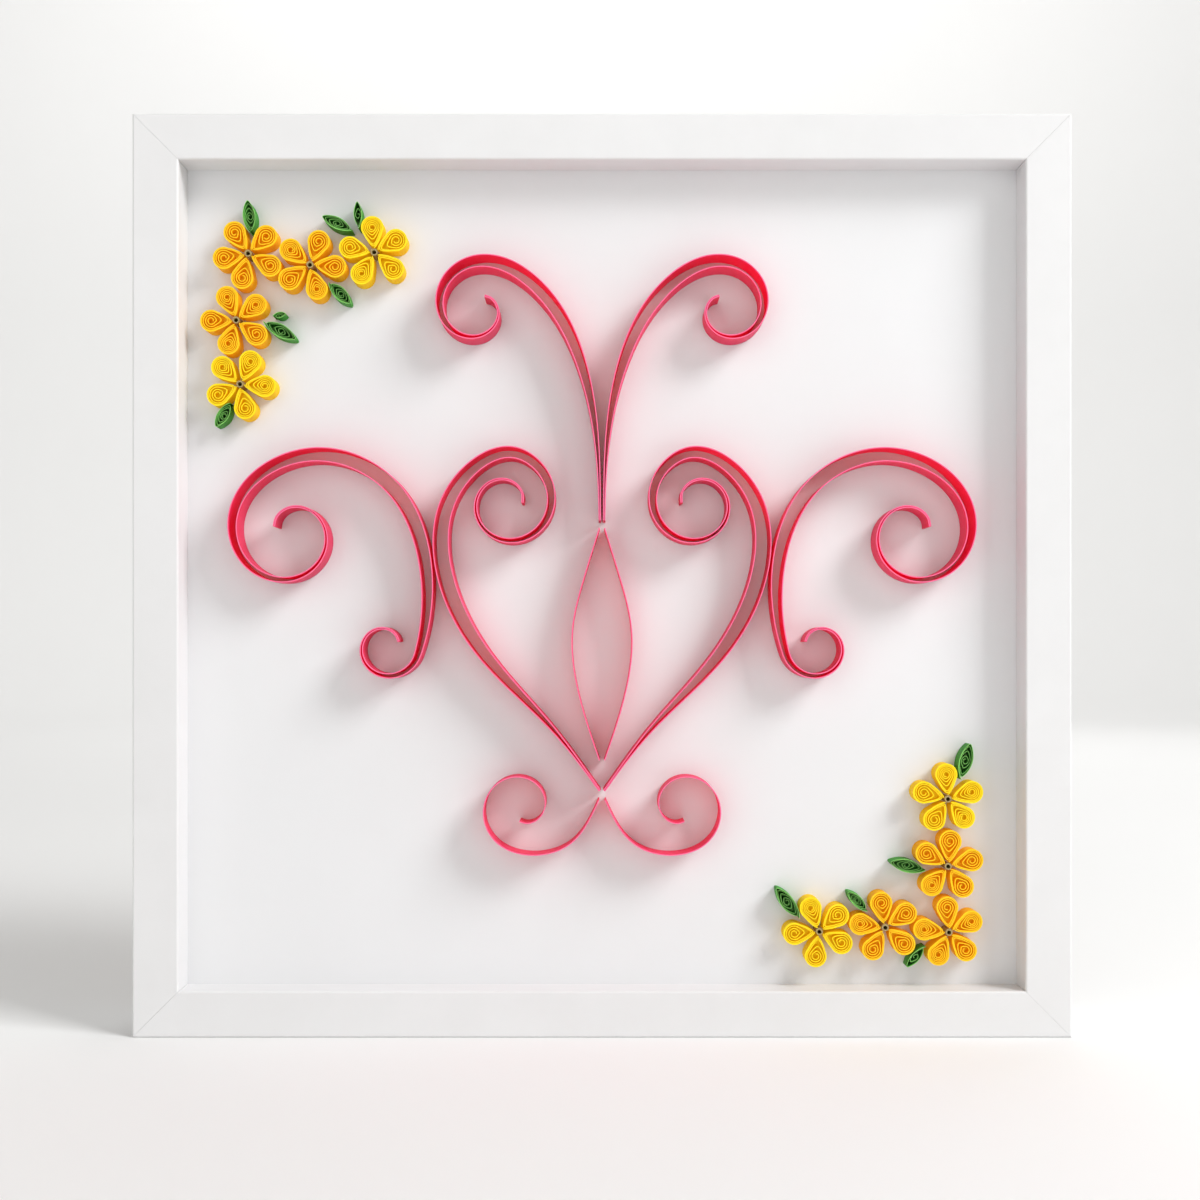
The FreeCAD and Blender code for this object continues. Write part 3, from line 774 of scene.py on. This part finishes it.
@dataclass
class Flowers:
    """Ten flowers of five teardrop rolls round a small tight roll.

    angles are the directions of the petals in degrees and lemon the numbers of the paler flowers.
    A petal's measures are drawn from each Range, lengths in millimetres.
    """

    board: float
    angles: Sequence[Sequence[float]] = (
        (123, 44, -29, -104, -170), (142, 70, -4, -74, -145), (168, 95, 29, -41, -121),
        (181, 112, 38, -35, -108), (136, 66, -4, -78, -155), (165, 94, 16, -49, -123),
        (149, 85, 14, -54, -131), (173, 94, 25, -47, -115), (172, 99, 34, -41, -119),
        (185, 110, 41, -27, -98),
    )
    lemon: frozenset = frozenset((3, 5, 6, 10))
    radius: float = 12.05 * MM
    spacing: float = 1.95 * MM
    centre_radius: float = 1.2 * MM
    centre_bore: float = 0.62 * MM
    centre_paper: float = 0.1 * MM
    centre_turns: float = 3.5
    centre_samples: int = 28
    centre_lift: float = 0.15 * MM
    foot_gap: float = 0.05 * MM
    height: float = 6.4 * MM
    paper: float = 0.27 * MM
    # Depth of a sheet that the real rolls lack; it stands in for light bounced between the turns.
    bounce_floor_depth: float = 3.2 * MM
    open_turns: Sequence[float] = (3.0, 3.0, 4.0)
    rim_turns: float = 2.0
    rim_pitch: float = 0.31 * MM
    roundness: Range = (0.97, 1.0)
    eye_shift: Range = (-0.15, 0.05)
    eye_radius: Range = (0.5, 0.62)
    fullness: Range = (0.32, 0.42)
    unevenness: Range = (-0.12, 0.12)
    dish: Range = (0.05, 0.3)
    petals: int = 5
    seed: int = 11
    # Edge colours are painted highlights on front edges; emission strength is a painted glow.
    gold: FlowerKind = FlowerKind("paper_gold", RolledPaper(
        "golden_paper", face=(1.0, 0.60, 0.006), deep=(0.99, 0.54, 0.005), edge=(1.0, 0.66, 0.008),
        glow=(1.0, 0.60, 0.004), edge_highlight_share=0.8, glow_share=0.3, painted_glow=0.08,
    ))
    yellow: FlowerKind = FlowerKind("paper_lemon", RolledPaper(
        "lemon_paper", face=(1.0, 0.74, 0.006), deep=(0.99, 0.69, 0.005), edge=(1.0, 0.80, 0.008),
        glow=(1.0, 0.75, 0.004), edge_highlight_share=0.8, glow_share=0.3, painted_glow=0.08,
    ))
    # The edge colour is a painted highlight on the front edges.
    middle: RolledPaper = RolledPaper(
        "umber_paper", face=(0.42, 0.31, 0.11), deep=(0.34, 0.25, 0.08), edge=(0.52, 0.41, 0.19),
        glow=(0.30, 0.2, 0.05), edge_highlight_share=0.9, glow_share=0.1,
    )

    def centre(self, index: int) -> tuple[float, float]:
        """Where a flower stands, from the node of its middle roll."""
        low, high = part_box("flower_%02d_centre" % index)
        return (low[0] + high[0]) / 2, (low[2] + high[2]) / 2

    def petal(self, chance: random.Random) -> tuple[np.ndarray, np.ndarray, np.ndarray]:
        """One teardrop roll, its eye out along the X axis and its point by the flower's middle.

        Args:
            chance: what makes each petal a little different.

        Returns:
            The inner face, the outer face and the share of the way out.
        """
        chord = math.sin(math.pi / self.petals)
        full = (self.radius * chord - self.spacing / 2) / (1 + chord)
        round_radius = full * chance.uniform(*self.roundness)
        eye_distance = self.radius - full + chance.uniform(*self.eye_shift) * MM
        point = eye_distance - self.centre_radius - self.foot_gap
        coils = chance.choice(self.open_turns) + self.rim_turns
        eye = chance.uniform(*self.eye_radius) * MM
        outline = Teardrop(
            round_radius, point, eye, self.paper, coils, self.rim_turns, self.rim_pitch,
            chance.uniform(*self.fullness),
        )
        inner, outer, share = Roll(coils, self.paper, outline.reach, lobes=1).lines()
        inner, outer = rolled_either_way(chance, inner, outer)
        shift = (eye_distance, 0.0)
        return turned(inner, 180.0, shift), turned(outer, 180.0, shift), share

    def build_petals(self, index: int, kind: FlowerKind, material: bpy.types.Material) -> None:
        """Builds the five petals of one flower as one piece.

        Args:
            index: the flower's number.
            kind: its paper.
            material: the paper's material.
        """
        chance = random.Random(self.seed * 100 + index)
        walls = WallMesh(self.board)
        spot = self.centre(index)
        for turn in self.angles[index - 1]:
            inner, outer, share = self.petal(chance)
            rise = self.height + chance.uniform(*self.unevenness) * MM
            dish = chance.uniform(*self.dish) * MM
            height = rise - dish * np.cos(share * math.pi / 2)
            inner, outer = turned(inner, turn, spot), turned(outer, turn, spot)
            walls.add(inner, outer, height)
            # A sheet the real roll lacks, put in to stand for light bounced between the turns.
            walls.floor(inner[-Roll.samples:], rise - self.bounce_floor_depth)
        piece = keep("flower_%02d_rolls" % index, walls.mesh("flower_rolls"), material)
        stand_for(piece, kind.slot, "flower_%02d_petals" % index)

    def build_centre(self, index: int, material: bpy.types.Material) -> None:
        """Builds the tight roll in the middle of one flower."""
        ring = self.centre_radius - self.centre_paper - self.centre_bore

        def reach(bearing: np.ndarray, share: np.ndarray) -> np.ndarray:
            """Distance of a round spiral from its middle."""
            return self.centre_bore + ring * share

        inner, outer, _ = Roll(
            self.centre_turns, self.centre_paper, reach, lobes=1, gather=0.0,
            samples=self.centre_samples,
        ).lines()
        walls = WallMesh(self.board)
        spot = self.centre(index)
        walls.add(inner + spot, outer + spot, self.height + self.centre_lift)
        piece = keep("flower_%02d_middle" % index, walls.mesh("flower_middle"), material)
        stand_for(piece, "paper_umber", "flower_%02d_centre" % index)

    def build(self) -> None:
        """Builds all ten flowers."""
        materials = {kind.slot: kind.finish.build() for kind in (self.gold, self.yellow)}
        umber = self.middle.build()
        for index in range(1, len(self.angles) + 1):
            kind = self.yellow if index in self.lemon else self.gold
            self.build_petals(index, kind, materials[kind.slot])
            self.build_centre(index, umber)


@dataclass(frozen=True)
class Leaf:
    """One leaf: its heading in degrees, its length and its width in millimetres."""

    heading: float
    length: float
    width: float


@dataclass
class Leaves:
    """Twelve marquise rolls, each standing where its node stands.

    Turns are those of the rim and the open ones. Widths, eyes and dish are in millimetres.
    """

    board: float
    height: float = 6.4 * MM
    paper: float = 0.16 * MM
    # Depth of a sheet that the real rolls lack; it stands in for light bounced between the turns.
    bounce_floor_depth: float = 5.9 * MM
    rim_pitch: float = 0.22 * MM
    eye_radius: float = 0.5
    eye_divisor: float = 9.0
    narrow_width: float = 3.5
    wide_turns: Range = (2.0, 2.5)
    narrow_turns: Range = (1.0, 1.5)
    dish: Range = (1.6, 2.1)
    dish_steepness: float = 0.6
    seed: int = 5
    leaves: Sequence[Leaf] = (
        Leaf(96.0, 11.9, 4.2), Leaf(155.0, 12.2, 4.1), Leaf(93.0, 10.4, 3.0),
        Leaf(-45.0, 10.6, 4.3), Leaf(-29.0, 13.2, 4.5), Leaf(14.0, 4.8, 2.0),
        Leaf(-123.0, 10.0, 3.9), Leaf(75.0, 13.3, 4.7), Leaf(168.0, 12.9, 4.4),
        Leaf(136.0, 9.9, 3.6), Leaf(228.0, 10.4, 3.2), Leaf(127.0, 13.6, 4.6),
    )
    # The edge colour is a painted highlight on the front edges.
    finish: RolledPaper = RolledPaper(
        "green_paper", face=(0.07, 0.38, 0.045), deep=(0.045, 0.29, 0.03), edge=(0.30, 0.73, 0.17),
        glow=(0.04, 0.40, 0.01), edge_highlight_share=0.9, glow_share=0.14,
    )

    def build(self) -> None:
        """Builds all twelve leaves."""
        material = self.finish.build()
        for index, leaf in enumerate(self.leaves, start=1):
            chance = random.Random(self.seed * 100 + index)
            name = "leaf_%02d" % index
            low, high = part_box(name)
            spot = ((low[0] + high[0]) / 2, (low[2] + high[2]) / 2)
            eye = min(self.eye_radius, leaf.width / self.eye_divisor) * MM
            turns = self.wide_turns if leaf.width > self.narrow_width else self.narrow_turns
            coils = sum(turns)
            outline = Marquise(
                leaf.length * MM, leaf.width * MM, eye, self.paper, coils, turns[0], self.rim_pitch
            )
            inner, outer, share = Roll(coils, self.paper, outline.reach, lobes=2).lines()
            inner, outer = rolled_either_way(chance, inner, outer)
            dish = chance.uniform(*self.dish) * MM
            height = self.height - dish * np.cos(share * math.pi / 2) ** self.dish_steepness
            inner, outer = turned(inner, leaf.heading, spot), turned(outer, leaf.heading, spot)
            walls = WallMesh(self.board)
            walls.add(inner, outer, height)
            # A sheet the real roll lacks, put in to stand for light bounced between the turns.
            walls.floor(inner[-Roll.samples:], self.height - self.bounce_floor_depth)
            piece = keep(name + "_roll", walls.mesh("leaf_roll"), material)
            stand_for(piece, "paper_green", name)


# Scroll ornament


@dataclass(frozen=True)
class Curl:
    """A tightening curl: heading, side (1 is to the left), first and last radius and turns."""

    heading: float
    side: int
    first: float
    last: float
    turns: float
    steps: int = 120
    keep_every: int = 8

    def points(self, start: Sequence[float]) -> list[tuple[float, float]]:
        """Points along the curl after its start, in millimetres."""
        sweep = 2 * math.pi * self.turns
        x, z = start
        found = []
        for step in range(1, self.steps + 1):
            share = (step - 0.5) / self.steps
            angle = math.radians(self.heading) + self.side * sweep * share
            stride = (self.first + (self.last - self.first) * share) * sweep / self.steps
            x += stride * math.cos(angle)
            z += stride * math.sin(angle)
            if step % self.keep_every == 0:
                found.append((x, z))
        return found


@dataclass(frozen=True)
class Stroke:
    """One stroke of the right half, in millimetres from the ornament's middle."""

    name: str
    points: Sequence[tuple[float, float]]
    end_curl: Curl | None = None
    start_curl: Curl | None = None
    peak: float = 0.5
    swell: float = 0.0

    def middle(self, samples: int) -> np.ndarray:
        """Evenly spaced points along the middle line, in millimetres."""
        points = list(self.points)
        if self.start_curl:
            points = self.start_curl.points(points[0])[::-1] + points
        if self.end_curl:
            points = points + self.end_curl.points(points[-1])
        return smooth_line(np.array(points, dtype=float), samples)

    def widths(self, samples: int) -> np.ndarray:
        """Half the space between the pair of strips at each sample, in millimetres."""
        share = np.linspace(0.0, 1.0, samples)
        part = np.where(share < self.peak, share / self.peak, (1 - share) / (1 - self.peak))
        return self.swell * np.sin(part * math.pi / 2) ** 2


@dataclass
class Ornament:
    """Sixteen card strips on edge: pairs that swell apart and close again, and single lines.

    The strokes, the card's thickness and the glue gap are in millimetres.
    """

    board: float
    middle_height: float
    height: float = 10.0 * MM
    chamfer: float = 0.06 * MM
    thickness: float = 0.35
    glue_gap: float = 0.1
    samples: int = 340
    finish: DyedCard = DyedCard("dyed_card")
    pairs: Sequence[Stroke] = (
        Stroke(
            "heart",
            ((0.7, -70.0), (16.0, -50.0), (38.0, -26.0), (51.5, 2.0), (47.5, 29.0), (28.0, 40.0)),
            end_curl=Curl(196.0, 1, 16.5, 5.0, 1.25), peak=0.38, swell=2.3,
        ),
        Stroke(
            "side_scroll",
            ((59.5, -24.0), (57.3, 2.0), (68.5, 29.0), (93.0, 39.5), (117.0, 27.0)),
            end_curl=Curl(-56.0, -1, 20.0, 5.0, 1.1), start_curl=Curl(-80.0, 1, 11.0, 4.5, 0.95),
            peak=0.42, swell=2.12,
        ),
        Stroke(
            "plume",
            ((0.7, 18.0), (1.6, 42.0), (7.0, 70.0), (21.0, 94.0), (37.0, 102.5)),
            end_curl=Curl(6.0, -1, 15.5, 4.0, 1.0), peak=0.52, swell=1.95,
        ),
    )
    singles: Sequence[Stroke] = (
        Stroke(
            "tail", ((1.2, -73.0), (11.0, -87.5), (28.0, -90.0)),
            end_curl=Curl(14.0, 1, 14.5, 4.0, 1.05),
        ),
        Stroke("almond", ((0.7, -60.0), (7.5, -38.0), (9.5, -18.0), (5.5, 0.0), (0.7, 15.5))),
    )

    def strip(
        self, node: str, stroke: Stroke, side: int, hand: Hand, material: bpy.types.Material
    ) -> None:
        """Builds one card strip beside a stroke's middle line.

        Args:
            node: the node that it stands for.
            stroke: the stroke.
            side: 1 to the left of the middle line, -1 to its right.
            hand: the half of the ornament.
            material: the card's material.
        """
        middle = stroke.middle(self.samples)
        near_by = self.glue_gap / 2 * (stroke.swell > 0) + stroke.widths(self.samples)
        near = beside(middle, side * near_by)
        far = beside(middle, side * (near_by + self.thickness))
        mirror = np.array((hand.value, 1))
        lift = np.array((0.0, self.middle_height))
        walls = WallMesh(self.board, self.chamfer)
        walls.add(near * mirror * MM + lift, far * mirror * MM + lift, self.height)
        piece = keep(node + "_strip", walls.mesh("card_strip"), material)
        stand_for(piece, "card_pink", node)

    def build(self) -> None:
        """Builds both halves of the ornament."""
        material = self.finish.build()
        for hand in Hand:
            word = hand.name.lower()
            for stroke in self.pairs:
                for edge, side in (("outer", -1), ("inner", 1)):
                    node = "%s_%s_%s" % (stroke.name, word, edge)
                    self.strip(node, stroke, side, hand, material)
            for stroke in self.singles:
                node = "%s_%s" % (stroke.name, word)
                self.strip(node, stroke, -1, hand, material)


# Frame and boards


@dataclass
class BoxFrame:
    """Four mitred rails of a rebated moulding, painted white."""

    rebate: float = 6.0 * MM
    rounding: float = 0.7 * MM
    joint: float = 0.02 * MM
    arris: float = 0.07 * MM
    arris_segments: int = 2
    arris_angle: float = math.radians(40)
    corner_steps: int = 5
    finish: SatinPaint = SatinPaint("satin_white_paint")

    def __post_init__(self) -> None:
        """Takes the frame's places from its nodes."""
        self.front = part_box("bottom_rail")[0][1]
        self.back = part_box("bottom_rail")[1][1]
        self.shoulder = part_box("mount_board")[0][1]
        self.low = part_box("bottom_rail")[1][2]
        self.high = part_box("top_rail")[0][2]
        self.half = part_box("right_rail")[0][0]
        self.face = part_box("bottom_rail")[1][2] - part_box("bottom_rail")[0][2]

    def section(self) -> list[tuple[float, float]]:
        """The moulding's section as (outwards from the opening, depth) points."""
        arc = [math.pi / 2 * step / self.corner_steps for step in range(self.corner_steps + 1)]
        radius = self.rounding
        inner = [
            (radius - radius * math.cos(angle), self.front + radius - radius * math.sin(angle))
            for angle in arc
        ]
        outer = [(self.face - across, depth) for across, depth in reversed(inner)]
        return [
            (0.0, self.shoulder), *inner, *outer, (self.face, self.back),
            (self.rebate, self.back), (self.rebate, self.shoulder),
        ]

    def spot(
        self, side: Side, along: float, outwards: float, depth: float
    ) -> tuple[float, float, float]:
        """A point of a rail, from its place along it, out from the opening and in depth."""
        middle = (self.low + self.high) / 2
        if side is Side.TOP:
            return along, depth, self.high + outwards
        if side is Side.BOTTOM:
            return -along, depth, self.low - outwards
        if side is Side.LEFT:
            return -self.half - outwards, depth, middle + along
        return self.half + outwards, depth, middle - along

    def rail(self, side: Side, material: bpy.types.Material) -> None:
        """Builds one rail with mitred ends and softened arrises."""
        lying = side in (Side.TOP, Side.BOTTOM)
        reach = self.half if lying else (self.high - self.low) / 2
        section = self.section()
        count = len(section)
        points = [
            self.spot(side, sign * (reach + outwards - self.joint), outwards, depth)
            for sign in (-1, 1)
            for outwards, depth in section
        ]
        faces = [
            (step, (step + 1) % count, count + (step + 1) % count, count + step)
            for step in range(count)
        ]
        faces += [tuple(reversed(range(count))), tuple(range(count, 2 * count))]
        mesh = bpy.data.meshes.new(side.value + "_rail")
        mesh.from_pydata(points, [], faces)
        mesh.update()
        piece = keep(side.value + "_rail_painted", mesh, material)
        bevel = piece.modifiers.new("arris", "BEVEL")
        bevel.width = self.arris
        bevel.segments = self.arris_segments
        bevel.limit_method = "ANGLE"
        bevel.angle_limit = self.arris_angle
        stand_for(piece, "frame_white", side.value + "_rail")

    def build(self) -> None:
        """Builds the four rails."""
        material = self.finish.build()
        for side in Side:
            self.rail(side, material)


@dataclass(frozen=True)
class Dressing:
    """A finish for nodes that keep their own shapes."""

    finish: "MountBoard | Hardboard | PlatedSteel | SoftBumper"
    nodes: Sequence[str]

    def build(self) -> None:
        """Gives each node the material."""
        material = self.finish.build()
        for node in self.nodes:
            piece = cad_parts[node]
            piece.data.materials.clear()
            piece.data.materials.append(material)
            LOG.info("%s: %s", node, material.name)


DRESSINGS = (
    Dressing(MountBoard("mount_board_white"), ("mount_board",)),
    Dressing(Hardboard("backing_hardboard"), ("backing_board",)),
    Dressing(
        PlatedSteel("zinc_plated_steel", (0.56, 0.57, 0.60), (0.40, 0.41, 0.43)),
        ("corner_v_nails", "framer_points"),
    ),
    Dressing(
        PlatedSteel("brass_plated_steel", (0.80, 0.56, 0.22), (0.58, 0.38, 0.14), roughness=0.28),
        ("sawtooth_hanger", "hanger_nails"),
    ),
    Dressing(SoftBumper("soft_bumper"), ("wall_bumpers",)),
)


# Studio


@dataclass(frozen=True)
class SoftLight:
    """A square soft light: its place and what it looks at, both from the picture's middle."""

    name: str
    offset: Sequence[float]
    size: float
    power: float
    tint: Colour = (1.0, 1.0, 1.0)
    aim: Sequence[float] = (0.0, 0.0, 0.0)

    def add(self, middle: Vector) -> None:
        """Puts the light in the scene, which has the picture's middle here."""
        data = bpy.data.lights.new(self.name, "AREA")
        data.shape = "SQUARE"
        data.size = self.size
        data.energy = self.power
        data.color = self.tint
        lamp = bpy.data.objects.new(self.name, data)
        lamp.location = middle + Vector(self.offset)
        lamp.rotation_mode = "QUATERNION"
        view = Vector(self.aim) - Vector(self.offset)
        lamp.rotation_quaternion = view.to_track_quat("-Z", "Y")
        lamp.visible_camera = False
        bpy.context.scene.collection.objects.link(lamp)
        LOG.info("light %s: %.0f W", self.name, self.power)


@dataclass
class Studio:
    """Pale floor that sweeps up all round, soft lights and the camera."""

    middle: Vector
    floor_radius: float = 2.2
    sweep_radius: float = 0.9
    wall_height: float = 2.6
    segments: int = 96
    sweep_steps: int = 16
    sky: float = 0.39
    sky_tint: Colour = (1.0, 0.98, 0.955)
    eye: Sequence[float] = (-0.00065, -0.493, 0.1258)
    lens: float = 44.1
    sensor: float = 36.0
    shift_up: float = 0.0417
    lights: Sequence[SoftLight] = (
        SoftLight("key", (1.3, -0.78, 1.15), size=0.75, power=30.0, tint=(0.99, 0.995, 1.0)),
        SoftLight("fill", (-0.5, -1.4, 0.4), size=1.4, power=4.5, tint=(1.0, 0.975, 0.95)),
        SoftLight("behind", (0.6, 1.4, 1.1), size=1.4, power=5.0),
        SoftLight("backdrop", (0.0, 1.9, 2.1), size=2.0, power=22.0, aim=(0.0, 3.0, 0.9)),
    )
    finish: StudioPaper = StudioPaper("studio_paper")

    def backdrop(self) -> None:
        """Builds the floor and its sweep as one round surface."""
        profile = [(0.0, 0.0), (self.floor_radius / 2, 0.0), (self.floor_radius, 0.0)]
        for step in range(1, self.sweep_steps + 1):
            angle = math.pi / 2 * step / self.sweep_steps
            profile.append((
                self.floor_radius + self.sweep_radius * math.sin(angle),
                self.sweep_radius * (1 - math.cos(angle)),
            ))
        profile.append((profile[-1][0], self.wall_height))
        points = [(0.0, 0.0, 0.0)]
        for radius, height in profile[1:]:
            for step in range(self.segments):
                angle = 2 * math.pi * step / self.segments
                points.append((radius * math.cos(angle), radius * math.sin(angle), height))
        faces = [(0, 1 + step, 1 + (step + 1) % self.segments) for step in range(self.segments)]
        for ring in range(len(profile) - 2):
            first = 1 + ring * self.segments
            after = first + self.segments
            for step in range(self.segments):
                following = (step + 1) % self.segments
                faces.append((first + step, after + step, after + following, first + following))
        mesh = bpy.data.meshes.new("studio_floor")
        mesh.from_pydata(points, [], faces)
        mesh.update()
        mesh.shade_smooth()
        keep("studio_floor", mesh, self.finish.build())

    def world(self) -> None:
        """Fills the open top with plain soft light."""
        world = bpy.data.worlds.new("studio_light")
        world.use_nodes = True
        background = world.node_tree.nodes["Background"]
        background.inputs["Color"].default_value = opaque(self.sky_tint)
        background.inputs["Strength"].default_value = self.sky
        bpy.context.scene.world = world

    def camera(self) -> None:
        """Adds the camera, level and square on as in the photograph."""
        data = bpy.data.cameras.new("camera")
        data.sensor_width = self.sensor
        data.lens = self.lens
        data.shift_y = self.shift_up
        camera = bpy.data.objects.new("camera", data)
        camera.location = self.eye
        camera.rotation_euler = (math.pi / 2, 0.0, 0.0)
        bpy.context.scene.collection.objects.link(camera)
        bpy.context.scene.camera = camera

    def build(self) -> None:
        """Builds the whole studio."""
        bpy.context.scene.view_settings.view_transform = "Standard"
        self.camera()
        self.world()
        self.backdrop()
        for light in self.lights:
            light.add(self.middle)


def main() -> None:
    """Builds the studio and then the picture, piece by piece."""
    logging.basicConfig(level=logging.INFO, format="%(name)s %(message)s")
    low, high = CAD_BOX
    Studio((Vector(low) + Vector(high)) / 2).build()
    box = BoxFrame()
    box.build()
    for dressing in DRESSINGS:
        dressing.build()
    Ornament(box.shoulder, (box.low + box.high) / 2).build()
    Flowers(box.shoulder).build()
    Leaves(box.shoulder).build()


if __name__ == "__main__":
    main()
